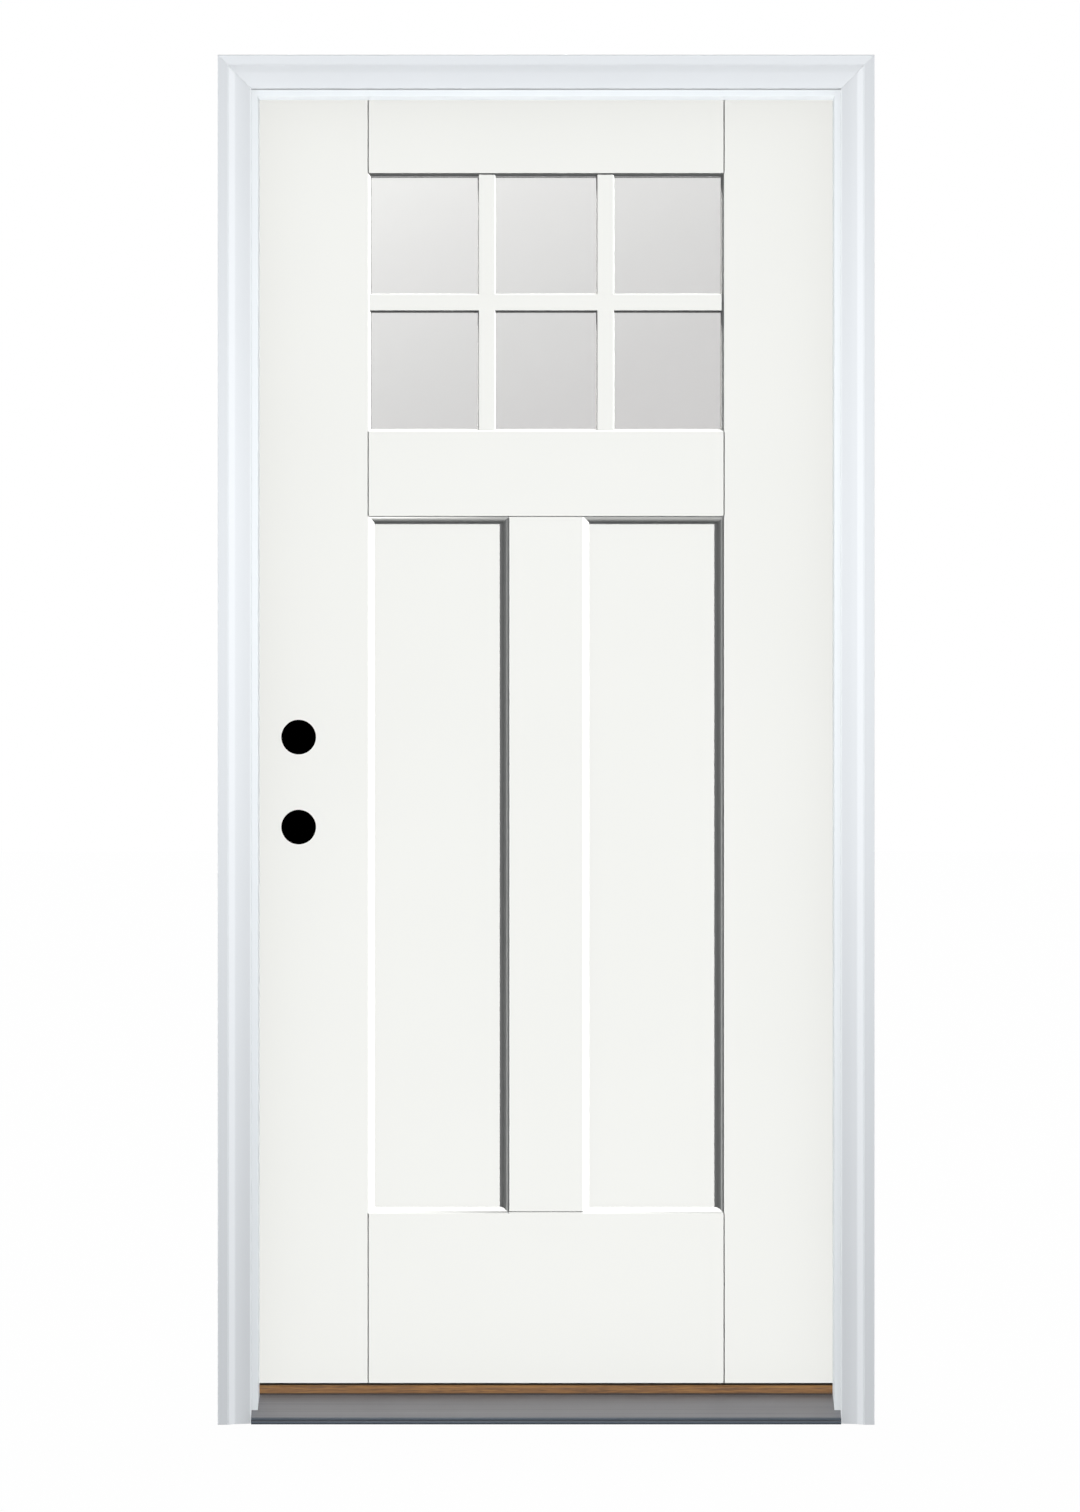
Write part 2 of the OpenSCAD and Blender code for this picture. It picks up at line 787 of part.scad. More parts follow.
// Section of a muntin bar: across, and depth below the face.
function muntin_outline() =
    let (
        r = (muntin_w - muntin_flat) / 2,
        rise = glass_d - muntin_in - muntin_side,
        c = muntin_flat / 2, d = glass_d - muntin_side
    ) concat(
        [[-muntin_w / 2, glass_d]],
        arc([-c, d], r, -rise, 180, 90, 8),
        arc([c, d], r, -rise, 90, 0, 8),
        [[muntin_w / 2, glass_d]]
    );

module crossbar() {
    intersection() {
        along_x(2 * seam_x)
            polygon([for (p = muntin_outline()) [p[1], muntin_z + p[0]]]);
        lite_recess(0, glass_d);
    }
}

// The uprights, coped over the crossbar's rounded sides.
module uprights() {
    difference() {
        intersection() {
            for (x = [-muntin_x, muntin_x]) along_z(lite_z0, lite_z1)
                polygon([for (p = muntin_outline()) [x + p[0], p[1]]]);
            lite_recess(0, glass_d);
        }
        along_x(2 * seam_x)
            polygon([for (p = muntin_outline()) [p[1], muntin_z + p[0]]]);
    }
}

module exterior_crossbar() { color(white) outdoor_side() crossbar(); }

module exterior_uprights() { color(white) outdoor_side() uprights(); }

module interior_crossbar() { color(white) indoor_side() crossbar(); }

module interior_uprights() { color(white) indoor_side() uprights(); }

// ---- Hinges ----

module at_hinges() {
    for (z = hinge_zs) translate([0, 0, z]) children();
}

// Outline of a leaf in Y and Z, with its two inner corners rounded.
module leaf_outline(grow) {
    h = hinge_h / 2;
    polygon(concat(
        arc([leaf_y0 + leaf_r, h - leaf_r], leaf_r + grow, leaf_r + grow, 90, 180, 8),
        arc([leaf_y0 + leaf_r, leaf_r - h], leaf_r + grow, leaf_r + grow, 180, 270, 8),
        [[axis_y, -h - grow], [axis_y, h + grow]]
    ));
}

// The plane of a leaf: 1 for the jamb's, -1 for the slab's.
function leaf_x(side) = side > 0 ? rabbet_x : slab_x - leaf_t;

module leaf_plate(side, grow) {
    translate([leaf_x(side), 0, 0]) rotate([90, 0, 90])
        linear_extrude(leaf_t) leaf_outline(grow);
}

module leaf_pocket(side) {
    translate([side > 0 ? -cut : 0, 0, 0]) leaf_plate(side, fit_gap);
    if (side < 0) translate([cut, 0, 0]) leaf_plate(side, fit_gap);
    if (side > 0) leaf_plate(side, fit_gap);
}

// Knuckles first, first + 2 and so on, made larger by grow.
module knuckle_row(first, grow) {
    step = hinge_h / knuckles;
    for (i = [first:2:knuckles - 1])
        translate([axis_x, axis_y, -hinge_h / 2 + i * step + knuckle_gap / 2 - grow])
            cylinder(h = step - knuckle_gap + 2 * grow, r = knuckle_r + grow, $fn = bore_fn);
}

module pin_hole() {
    translate([axis_x, axis_y, -hinge_h / 2 - cut])
        cylinder(h = hinge_h + 2 * cut, d = pin_d + 2 * turn_gap, $fn = bore_fn);
}

// One screw hole place for each row, staggered across the leaf.
module at_leaf_screws(x) {
    for (i = [0:len(screw_rows) - 1])
        translate([x, i % 2 == 0 ? screw_near : screw_far, screw_rows[i] * hinge_h]) children();
}

module leaf(side) {
    own = side > 0 ? 0 : 1;
    difference() {
        union() {
            leaf_plate(side, 0);
            knuckle_row(own, 0);
        }
        knuckle_row(1 - own, leaf_clear);
        pin_hole();
        if (side > 0) at_leaf_screws(rabbet_x) screw_hole(jamb_screw_l);
        if (side < 0) at_leaf_screws(slab_x) mirror([1, 0, 0]) screw_hole(door_screw_l);
    }
}

module jamb_leaf(z) { color(steel) translate([0, 0, z]) leaf(1); }

module door_leaf(z) { color(steel) translate([0, 0, z]) leaf(-1); }

module hinge_pin(z) {
    head_h = 3;
    color(steel) translate([axis_x, axis_y, z]) {
        translate([0, 0, -hinge_h / 2 - 1])
            cylinder(h = hinge_h + 2, d = pin_d, $fn = bore_fn);
        translate([0, 0, hinge_h / 2]) cylinder(h = head_h, r = knuckle_r - 1, $fn = bore_fn);
        translate([0, 0, hinge_h / 2 + head_h])
            cylinder(h = 1.5, r1 = knuckle_r - 1, r2 = knuckle_r - 3, $fn = bore_fn);
    }
}

module top_jamb_leaf() { jamb_leaf(hinge_top_z); }
module middle_jamb_leaf() { jamb_leaf(hinge_mid_z); }
module bottom_jamb_leaf() { jamb_leaf(hinge_low_z); }
module top_door_leaf() { door_leaf(hinge_top_z); }
module middle_door_leaf() { door_leaf(hinge_mid_z); }
module bottom_door_leaf() { door_leaf(hinge_low_z); }
module top_hinge_pin() { hinge_pin(hinge_top_z); }
module middle_hinge_pin() { hinge_pin(hinge_mid_z); }
module bottom_hinge_pin() { hinge_pin(hinge_low_z); }

module at_jamb_screws() {
    at_hinges() at_leaf_screws(rabbet_x) children();
}

module at_door_screws() {
    at_hinges() at_leaf_screws(slab_x) mirror([1, 0, 0]) children();
}

module jamb_leaf_screws() { color(steel) at_jamb_screws() screw(jamb_screw_l); }

module door_leaf_screws() { color(steel) at_door_screws() screw(door_screw_l); }

strike_jamb();
hinge_jamb();
head_jamb();
strike_brickmould();
hinge_brickmould();
head_brickmould();
strike_weatherstrip();
hinge_weatherstrip();
head_weatherstrip();
corner_pads();
sill_substrate();
sill_deck();
threshold_cap();
cap_screws();
frame_screws();
exterior_skin();
interior_skin();
lock_stile();
hinge_stile();
top_rail();
bottom_rail();
lock_block();
foam_core();
door_sweep();
glazing_surround();
exterior_glazing_tape();
interior_glazing_tape();
exterior_pane();
interior_pane();
glass_spacer();
setting_blocks();
exterior_crossbar();
exterior_uprights();
interior_crossbar();
interior_uprights();
top_jamb_leaf();
middle_jamb_leaf();
bottom_jamb_leaf();
top_door_leaf();
middle_door_leaf();
bottom_door_leaf();
top_hinge_pin();
middle_hinge_pin();
bottom_hinge_pin();
jamb_leaf_screws();
door_leaf_screws();
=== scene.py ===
# %% [markdown]
# # A panelled front door, hung in its frame
#
# The real thing is a pre-hung unit: a moulded white slab with six small panes over two tall
# recessed panels, in rabbeted jambs with a mitred casing, over a metal sill with an oak cap.
# Its solids come from a CAD model and stay the frame that everything here is measured from.
# This lesson gives each solid its eased edges, its finish and the small hardware that a stand-in
# lacks, and then hands the pieces back to the same moving bodies.

# %% Load the solids and keep their box
import json
import math

import bmesh
import bpy
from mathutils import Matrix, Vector

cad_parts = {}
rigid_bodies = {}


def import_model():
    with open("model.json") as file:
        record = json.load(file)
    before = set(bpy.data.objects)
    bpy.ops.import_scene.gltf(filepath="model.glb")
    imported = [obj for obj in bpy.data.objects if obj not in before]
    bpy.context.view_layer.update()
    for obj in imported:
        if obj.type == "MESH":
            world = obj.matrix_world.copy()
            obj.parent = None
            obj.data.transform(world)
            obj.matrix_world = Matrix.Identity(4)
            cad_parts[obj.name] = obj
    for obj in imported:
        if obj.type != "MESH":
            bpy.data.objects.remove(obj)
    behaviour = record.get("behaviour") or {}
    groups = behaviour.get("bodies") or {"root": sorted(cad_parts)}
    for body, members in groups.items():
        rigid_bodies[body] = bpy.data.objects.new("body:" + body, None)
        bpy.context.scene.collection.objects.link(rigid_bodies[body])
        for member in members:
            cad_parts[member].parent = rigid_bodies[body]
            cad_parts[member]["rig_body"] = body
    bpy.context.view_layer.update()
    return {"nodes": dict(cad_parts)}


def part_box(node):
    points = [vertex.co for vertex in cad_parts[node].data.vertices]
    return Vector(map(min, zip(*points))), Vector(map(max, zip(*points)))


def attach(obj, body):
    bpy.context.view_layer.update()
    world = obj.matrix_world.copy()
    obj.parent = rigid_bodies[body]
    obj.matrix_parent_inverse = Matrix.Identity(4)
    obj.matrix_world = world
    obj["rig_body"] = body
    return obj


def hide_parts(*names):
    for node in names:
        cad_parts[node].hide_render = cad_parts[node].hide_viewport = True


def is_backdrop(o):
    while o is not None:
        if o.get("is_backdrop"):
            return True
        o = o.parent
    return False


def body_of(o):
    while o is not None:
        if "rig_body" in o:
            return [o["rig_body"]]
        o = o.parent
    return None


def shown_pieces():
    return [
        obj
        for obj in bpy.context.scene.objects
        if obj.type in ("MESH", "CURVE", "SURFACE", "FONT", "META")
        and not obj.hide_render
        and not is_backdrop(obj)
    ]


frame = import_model()
MM = 0.001

# %% [markdown]
# ## The camera
#
# A door is photographed square on, from far away, so that its stiles stay parallel. A long lens at
# ten metres does that. It stands at mid-height, a touch left of the middle.

# %% Camera
CAMERA_PLACE = (-0.0094, -10.03175, 1.0276)
FOCAL_MM = 154.94

lens = bpy.data.cameras.new("long_lens")
lens.lens = FOCAL_MM
lens.sensor_width = 36
lens.sensor_fit = "AUTO"
lens.clip_end = 200
camera = bpy.data.objects.new("camera", lens)
camera.location = CAMERA_PLACE
camera.rotation_euler = (math.pi / 2, 0, 0)
bpy.context.collection.objects.link(camera)
bpy.context.scene.camera = camera
print("camera at", tuple(round(v, 3) for v in camera.location), "lens", lens.lens)

# %% [markdown]
# ## The light
#
# White mouldings on a white face are drawn by their shadows alone. A raking key from the upper right
# lights the slab's walls that face it and leaves the others grey. The frame wants the opposite: an
# even frontal light, a softbox that fades towards the floor, and a wash from each side to pick out
# the casing's bevels. The head has lamps of its own, partly from below, because the side washes miss
# it. One lamp behind does for the indoor side of the slab what the key does outdoors, and another
# does it for the frame. Which lamp lights what is set at the end, once the pieces are there. Light
# isn't bounced from white to white, or the moulding walls would fill up and vanish.

# %% Lamps
KEY_TO = Vector((0.74, -0.49, 0.50))
REAR_TO = Vector((-0.62, 0.62, 0.46))
WASH_TURN = math.radians(75)
JUST_OFF_LEVEL = 0.05
DAY_WHITE = (1.0, 0.996, 0.985)
REAR_WHITE = (1.0, 0.99, 0.98)
SKY_WHITE = (0.97, 0.99, 1.0)


def sun(name, towards, strength, softness, colour=(1, 1, 1)):
    lamp = bpy.data.lights.new(name, "SUN")
    lamp.energy = strength
    lamp.angle = math.radians(softness)
    lamp.color = colour
    thing = bpy.data.objects.new(name, lamp)
    thing.rotation_euler = Vector(towards).to_track_quat("Z", "Y").to_euler()
    thing.location = Vector(towards) * 6
    bpy.context.collection.objects.link(thing)
    return thing


def softbox(name, place, size, watts):
    lamp = bpy.data.lights.new(name, "AREA")
    lamp.shape = "RECTANGLE"
    lamp.size, lamp.size_y = size
    lamp.energy = watts
    thing = bpy.data.objects.new(name, lamp)
    thing.location = place
    thing.rotation_euler = (math.pi / 2, 0, 0)
    bpy.context.collection.objects.link(thing)
    return thing


slab_key = sun("slab_key", KEY_TO, 5.60, 3, DAY_WHITE)
jamb_key = sun("jamb_key", (0, -1, JUST_OFF_LEVEL), 0.55, 25)
head_key = sun("head_key", (0, -1, 0.02), 2.05, 20)
head_foot = sun("head_foot_light", (0, -0.3, -0.95), 0.85, 20)
frame_box = softbox("frame_softbox", (0, -1.6, 1.4), (0.8, 0.8), 14.2)
soffit_light = sun("soffit_light", (0, -0.06, -1), 2.7, 12)
washes = [sun("wash_" + side, (turn * math.sin(WASH_TURN), -math.cos(WASH_TURN), 0.10), 1.9, 10)
          for side, turn in (("left", -1), ("right", 1))]
fill = sun("front_fill", (0, -1, 0.12), 0.50, 150, SKY_WHITE)
rear = sun("rear_light", REAR_TO, 3.5, 14, REAR_WHITE)
rear_fill = sun("rear_fill", (0, 1, 0.15), 0.75, 150, (0.98, 0.99, 1.0))
rear_frame = sun("rear_frame_light", (-0.45, 0.62, 0.46), 1.45, 14, REAR_WHITE)
bpy.context.scene.cycles.diffuse_bounces = 0
bpy.context.scene.view_settings.view_transform = "Standard"

# %% [markdown]
# ## Small helpers for node trees
#
# A node tree reads more easily when each line says what it adds. The helper makes one node, sets its
# options, and for each input takes either a number or another node's output.


# %% Node helper
def put(tree, kind, options=None, inputs=None):
    node = tree.nodes.new(kind)
    for name, value in (options or {}).items():
        setattr(node, name, value)
    for name, value in (inputs or {}).items():
        socket = node.inputs[name]
        if isinstance(value, bpy.types.NodeSocket):
            tree.links.new(value, socket)
        else:
            socket.default_value = value
    return node


# %% [markdown]
# ## The room
#
# The room is a plain white cyclorama. What the lens sees, straight or through the glass, is white,
# and what lights the door is dimmer, so the white never washes over the mouldings.

# %% World
ROOM_DIM = (0.014, 0.015, 0.017, 1)
ROOM_GLOSS = (0.30, 0.31, 0.33, 1)
ROOM_WHITE = (1, 1, 1, 1)

world = bpy.data.worlds.new("white_room")
world.use_nodes = True
bpy.context.scene.world = world
room = world.node_tree
room.nodes.clear()
path = put(room, "ShaderNodeLightPath")
seen = put(room, "ShaderNodeMath", {"operation": "MAXIMUM"},
           {0: path.outputs["Is Camera Ray"], 1: path.outputs["Is Transmission Ray"]})
dim = put(room, "ShaderNodeMix", {"data_type": "RGBA"},
          {0: path.outputs["Is Glossy Ray"], 6: ROOM_DIM, 7: ROOM_GLOSS})
shade = put(room, "ShaderNodeMix", {"data_type": "RGBA"},
            {0: seen.outputs[0], 6: dim.outputs[2], 7: ROOM_WHITE})
glow = put(room, "ShaderNodeBackground", None, {"Color": shade.outputs[2]})
put(room, "ShaderNodeOutputWorld", None, {"Surface": glow.outputs[0]})
print("room dim", ROOM_DIM[:3], "in gloss", ROOM_GLOSS[:3])

# %% [markdown]
# ## The floor
#
# A plain pale floor carries the sill. It is nearly as white as the room, so only a breath of shade
# shows where the door stands on it.

# %% Floor
FLOOR_HALF = 60
FLOOR_GLOW = 0.985


def sheet_mesh(name, corners):
    mesh = bpy.data.meshes.new(name)
    mesh.from_pydata([tuple(c) for c in corners], [], [tuple(range(len(corners)))])
    return mesh


floor_finish = bpy.data.materials.new("pale_floor")
floor_finish.use_nodes = True
tree = floor_finish.node_tree
tree.nodes.clear()
matt = put(tree, "ShaderNodeBsdfDiffuse", None, {"Color": (0.05, 0.05, 0.05, 1)})
lit = put(tree, "ShaderNodeEmission", None,
          {"Color": (1, 1, 1, 1), "Strength": FLOOR_GLOW})
both = put(tree, "ShaderNodeAddShader", None, {0: matt.outputs[0], 1: lit.outputs[0]})
put(tree, "ShaderNodeOutputMaterial", None, {"Surface": both.outputs[0]})

floor = bpy.data.objects.new("floor", sheet_mesh("floor", [
    (-FLOOR_HALF, -FLOOR_HALF, 0), (FLOOR_HALF, -FLOOR_HALF, 0),
    (FLOOR_HALF, FLOOR_HALF, 0), (-FLOOR_HALF, FLOOR_HALF, 0)]))
floor.location.z = -0.0006
floor.data.materials.append(floor_finish)
floor.visible_diffuse = False
floor.visible_glossy = False
bpy.context.collection.objects.link(floor)
floor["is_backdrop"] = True
print("floor", 2 * FLOOR_HALF, "m square")

# %% [markdown]
# ## Finishes
#
# Every finish starts from one recipe: two or more tones mixed by a noise that may be stretched along
# the grain, a roughness that wanders a little, and a fine bump. All of it reads Object coordinates,
# so the pattern stays put on each piece when the door swings. What differs between paint, metal and
# wood is the stretch, the tones and how much each part does.


# %% The shared recipe
def begin(name):
    finish = bpy.data.materials.new(name)
    finish.use_nodes = True
    tree = finish.node_tree
    tree.nodes.clear()
    out = put(tree, "ShaderNodeOutputMaterial")
    coords = put(tree, "ShaderNodeTexCoord")
    return finish, tree, out, coords.outputs["Object"]


def noise(tree, coords, stretch, scale, detail=3.0, roughness=0.55):
    place = put(tree, "ShaderNodeMapping", None, {"Vector": coords, "Scale": stretch})
    field = put(tree, "ShaderNodeTexNoise", None,
                {"Vector": place.outputs[0], "Scale": scale, "Detail": detail,
                 "Roughness": roughness})
    return field.outputs[0]


def ramp(tree, value, stops):
    node = put(tree, "ShaderNodeValToRGB", None, {"Fac": value})
    band = node.color_ramp
    while len(band.elements) < len(stops):
        band.elements.new(0.5)
    for element, (place, colour) in zip(band.elements, stops):
        element.position = place
        element.color = (*colour, 1)
    return node.outputs[0]


def spread(tree, value, low, high):
    node = put(tree, "ShaderNodeMapRange", None,
               {"Value": value, "From Min": 0.3, "From Max": 0.7,
                "To Min": low, "To Max": high})
    return node.outputs[0]


def bump(tree, value, height_mm, strength=1.0):
    node = put(tree, "ShaderNodeBump", None,
               {"Height": value, "Distance": height_mm * MM, "Strength": strength})
    return node.outputs[0]


def surface(tree, out, colour, rough, normal, **constants):
    shader = put(tree, "ShaderNodeBsdfPrincipled", None,
                 {"Base Color": colour, "Roughness": rough, "Normal": normal})
    for name, value in constants.items():
        shader.inputs[name.replace("_", " ")].default_value = value
    tree.links.new(shader.outputs[0], out.inputs["Surface"])
    return shader


def plain_finish(name, tones, stretch=(1, 1, 1), scale=6, rough=(0.4, 0.5),
                 grain_scale=600, grain_mm=0.02, grain_stretch=None, **constants):
    finish, tree, out, coords = begin(name)
    broad = noise(tree, coords, stretch, scale)
    fine = noise(tree, coords, grain_stretch or stretch, grain_scale, 2.0)
    surface(tree, out, ramp(tree, broad, [(0.3, tones[0]), (0.7, tones[1])]),
            spread(tree, broad, *rough), bump(tree, fine, grain_mm), **constants)
    return finish


# %% [markdown]
# ## The painted parts
#
# The slab is moulded in a smooth white skin with a slight satin orange peel, and its indoor skin is
# a shade greyer. The casing and the jambs are a cooler white: they are extruded, so what texture
# they have runs along them.

# %% Skin, jamb and casing
skin_white = plain_finish(
    "moulded_satin_skin", [(0.880, 0.886, 0.862), (0.890, 0.896, 0.872)],
    scale=2.5, rough=(0.54, 0.60), grain_scale=420, grain_mm=0.010,
    Specular_IOR_Level=0.35)
indoor_white = plain_finish(
    "indoor_satin_skin", [(0.790, 0.795, 0.775), (0.805, 0.810, 0.790)],
    scale=2.5, rough=(0.54, 0.60), grain_scale=420, grain_mm=0.010,
    Specular_IOR_Level=0.35)
jamb_white = plain_finish(
    "jamb_paint", [(0.83, 0.87, 0.90), (0.86, 0.90, 0.925)],
    stretch=(3, 3, 0.4), scale=5, rough=(0.48, 0.55), grain_scale=300, grain_mm=0.015,
    grain_stretch=(3, 3, 0.15), Specular_IOR_Level=0.3)

CASING_TONE = ((0.835, 0.865, 0.895), (0.855, 0.885, 0.915))


def casing_finish(name, along):
    stretch = tuple(0.15 if axis == along else 3.0 for axis in "xyz")
    return plain_finish(name, CASING_TONE, scale=3.0, rough=(0.50, 0.56),
                        grain_scale=260, grain_mm=0.012, grain_stretch=stretch,
                        Specular_IOR_Level=0.25)


side_casing_white = casing_finish("side_casing_paint", "z")
head_casing_white = casing_finish("head_casing_paint", "x")
print("painted finishes:", skin_white.name, jamb_white.name, side_casing_white.name)

# %% [markdown]
# ## Oak, pine and the metal of the sill
#
# Wood is lengthwise streaks at three sizes: broad bands of colour, rings between them, and pores
# that are short dark scratches. The threshold's oak runs along X and the stiles' pine along Z. The
# oak takes a foot height as well: below it the wood is darkened to a painted shadow line, where the
# cap sits in its channel.
# The sill is drawn aluminium. Its bump and its faint lines are stretched hard along its length, like
# brushing, and its nose is darker than its deck.


# %% Wood finishes
WOOD_STOPS = (0.36, 0.50, 0.64)
OAK_TONES = ((0.150, 0.062, 0.015), (0.310, 0.142, 0.037), (0.420, 0.215, 0.064))
PINE_TONES = ((0.43, 0.27, 0.13), (0.62, 0.44, 0.25), (0.70, 0.53, 0.33))
CAP_FOOT = 0.0392
CAP_FOOT_SHADE = 0.16


def wood_finish(name, along, tones, ring_scale, gloss, foot=None):
    finish, tree, out, coords = begin(name)
    streak = tuple(0.05 if axis == along else 1.0 for axis in "xyz")
    fleck = tuple(0.03 if axis == along else 1.0 for axis in "xyz")
    bands = noise(tree, coords, streak, ring_scale, 4.0, 0.6)
    rings = noise(tree, coords, streak, ring_scale * 4.5, 3.0, 0.6)
    pores = noise(tree, coords, fleck, ring_scale * 16, 2.0, 0.5)
    mixed = put(tree, "ShaderNodeMath", {"operation": "MULTIPLY_ADD"},
                {0: rings, 1: 0.45, 2: put(tree, "ShaderNodeMath", {"operation": "MULTIPLY"},
                                           {0: bands, 1: 0.55}).outputs[0]}).outputs[0]
    tone = ramp(tree, mixed, list(zip(WOOD_STOPS, tones)))
    shade = put(tree, "ShaderNodeMapRange", None,
                {"Value": pores, "From Min": 0.34, "From Max": 0.50,
                 "To Min": 0.55, "To Max": 1.0}).outputs[0]
    colour = put(tree, "ShaderNodeVectorMath", {"operation": "SCALE"},
                 {0: tone, "Scale": shade}).outputs[0]
    # Painted shadow: below the foot height the oak's colour is darkened to a shadow line.
    if foot is not None:
        height = put(tree, "ShaderNodeSeparateXYZ", None, {"Vector": coords}).outputs["Z"]
        foot_shade = put(tree, "ShaderNodeMapRange", None,
                    {"Value": height, "From Min": foot, "From Max": foot + MM,
                     "To Min": CAP_FOOT_SHADE, "To Max": 1.0}).outputs[0]
        colour = put(tree, "ShaderNodeVectorMath", {"operation": "SCALE"},
                     {0: colour, "Scale": foot_shade}).outputs[0]
    surface(tree, out, colour, spread(tree, rings, gloss - 0.06, gloss + 0.08),
            bump(tree, pores, 0.08, 0.6))
    return finish


oak = wood_finish("oiled_oak", "x", OAK_TONES, 90, 0.48, CAP_FOOT)
pine = wood_finish("clear_pine", "z", PINE_TONES, 45, 0.62)
pine_rail = wood_finish("clear_pine_across", "x", PINE_TONES, 45, 0.62)
print("woods:", oak.name, pine.name, pine_rail.name)

# %% Drawn aluminium for the sill
NOSE_BACK = (-0.0296, -0.0275)
DECK_GREY = (0.28, 0.278, 0.294)
NOSE_GREY = (0.064, 0.080, 0.098)


def sill_finish():
    finish, tree, out, coords = begin("drawn_aluminium")
    drawn = noise(tree, coords, (0.012, 1, 1), 900, 2.0)
    cloud = noise(tree, coords, (1, 2, 2), 5.0, 4.0)
    depth = put(tree, "ShaderNodeSeparateXYZ", None, {"Vector": coords}).outputs["Y"]
    back = put(tree, "ShaderNodeMapRange", None,
               {"Value": depth, "From Min": NOSE_BACK[0], "From Max": NOSE_BACK[1]}).outputs[0]
    tone = ramp(tree, back, [(0.0, NOSE_GREY), (1.0, DECK_GREY)])
    lines = noise(tree, coords, (0.004, 1, 1), 260, 2.0, 0.6)
    light = put(tree, "ShaderNodeMath", {"operation": "MULTIPLY"},
                {0: spread(tree, cloud, 0.95, 1.04), 1: spread(tree, lines, 0.90, 1.09)}).outputs[0]
    colour = put(tree, "ShaderNodeVectorMath", {"operation": "SCALE"},
                 {0: tone, "Scale": light}).outputs[0]
    surface(tree, out, colour, spread(tree, cloud, 0.36, 0.48), bump(tree, drawn, 0.02),
            Metallic=0.55)
    return finish


sill_metal = sill_finish()
print("sill tones", DECK_GREY, NOSE_GREY)

# %% [markdown]
# ## Hardware, seals and the glass
#
# The hinges are satin nickel, brushed along their length, and the screws are brighter zinc. The
# seals are soft grey vinyl over foam. The glass is two clear panes. A sealed unit looks slightly grey,
# so each pane carries half of that tint, and over it a painted reflection fades from the upper left
# to the lower right. The fade is one slanted ramp over all six lights, laid along an arrow in X and Z.

# %% Metals and soft finishes
nickel = plain_finish(
    "satin_nickel", [(0.52, 0.50, 0.465), (0.60, 0.58, 0.54)], stretch=(9, 9, 0.5), scale=40,
    rough=(0.28, 0.38), grain_scale=900, grain_mm=0.006, grain_stretch=(1, 1, 0.02), Metallic=1.0)
zinc = plain_finish(
    "bright_zinc", [(0.60, 0.60, 0.585), (0.72, 0.71, 0.69)], scale=160,
    rough=(0.26, 0.40), grain_scale=1500, grain_mm=0.006, Metallic=1.0)
spacer_metal = plain_finish(
    "spacer_aluminium", [(0.62, 0.63, 0.64), (0.70, 0.71, 0.72)], scale=30,
    rough=(0.35, 0.45), grain_scale=700, grain_mm=0.01, Metallic=1.0)
seal_grey = plain_finish(
    "foam_seal_skin", [(0.50, 0.50, 0.49), (0.57, 0.57, 0.555)], scale=40,
    rough=(0.55, 0.68), grain_scale=900, grain_mm=0.05)
tape_black = plain_finish(
    "glazing_tape", [(0.035, 0.035, 0.038), (0.06, 0.06, 0.062)], scale=60,
    rough=(0.55, 0.7), grain_scale=1200, grain_mm=0.04)
rubber_block = plain_finish(
    "block_rubber", [(0.05, 0.05, 0.05), (0.08, 0.08, 0.08)], scale=90,
    rough=(0.6, 0.75), grain_scale=900, grain_mm=0.05)
sweep_brown = plain_finish(
    "sweep_vinyl", [(0.085, 0.070, 0.058), (0.12, 0.10, 0.085)], stretch=(0.1, 1, 1), scale=40,
    rough=(0.42, 0.55), grain_scale=500, grain_mm=0.03, grain_stretch=(0.05, 1, 1))
surround_white = plain_finish(
    "surround_vinyl", [(0.80, 0.80, 0.78), (0.84, 0.84, 0.82)], scale=20,
    rough=(0.4, 0.5), grain_scale=500, grain_mm=0.02)
core_cream = plain_finish(
    "cut_core_foam", [(0.66, 0.58, 0.36), (0.76, 0.69, 0.47)], scale=60,
    rough=(0.8, 0.95), grain_scale=1400, grain_mm=0.15)
sill_core = plain_finish(
    "sill_core", [(0.16, 0.15, 0.14), (0.22, 0.21, 0.20)], stretch=(0.2, 1, 1), scale=60,
    rough=(0.7, 0.85), grain_scale=700, grain_mm=0.08)
print("hardware finishes:", nickel.name, zinc.name)

# %% Glass
# The pane tones are the glass's grey tint with a painted reflection that fades from the upper left.
PANE_TINT_AND_SHEEN = ((0.838, 0.838, 0.828), (0.789, 0.786, 0.780), (0.745, 0.742, 0.737),
              (0.712, 0.707, 0.703), (0.696, 0.690, 0.686))
SHEEN_ARROW = (0.76, 0.0, -1.4453)
SHEEN_START = -3.0033


def glass_finish():
    finish, tree, out, coords = begin("sealed_glass")
    # Painted reflection: the pane's colour fades along the slanted arrow.
    slant = put(tree, "ShaderNodeVectorMath", {"operation": "DOT_PRODUCT"},
                {0: coords, 1: SHEEN_ARROW}).outputs["Value"]
    fade = put(tree, "ShaderNodeMapRange", None,
               {"Value": slant, "From Min": SHEEN_START, "From Max": SHEEN_START + 1}).outputs[0]
    tone = ramp(tree, fade, [(0.25 * i, tone) for i, tone in enumerate(PANE_TINT_AND_SHEEN)])
    wave = noise(tree, coords, (1, 1, 1), 6.0, 1.0)
    shader = put(tree, "ShaderNodeBsdfPrincipled", None,
                 {"Base Color": tone, "Roughness": 0.0, "IOR": 1.5, "Transmission Weight": 1.0,
                  "Normal": bump(tree, wave, 0.02, 0.2)})
    tree.links.new(shader.outputs[0], out.inputs["Surface"])
    return finish


glass = glass_finish()
print("glass tints", PANE_TINT_AND_SHEEN[0], PANE_TINT_AND_SHEEN[-1])

# %% [markdown]
# ## Eased edges
#
# No edge on the real door is knife sharp: mouldings, paint and drawn metal all round over by a few
# tenths of a millimetre, and that is where the light catches. A CAD mesh is loose triangles, so a
# copy is merged and its flat triangles joined before a Bevel rounds only the edges that turn
# sharply. Smooth shading would then darken a flat towards its rounded edge. Hardened normals and a
# Weighted Normal after the Bevel keep the flats flat.


# %% The edge-easing helper
EASED = []


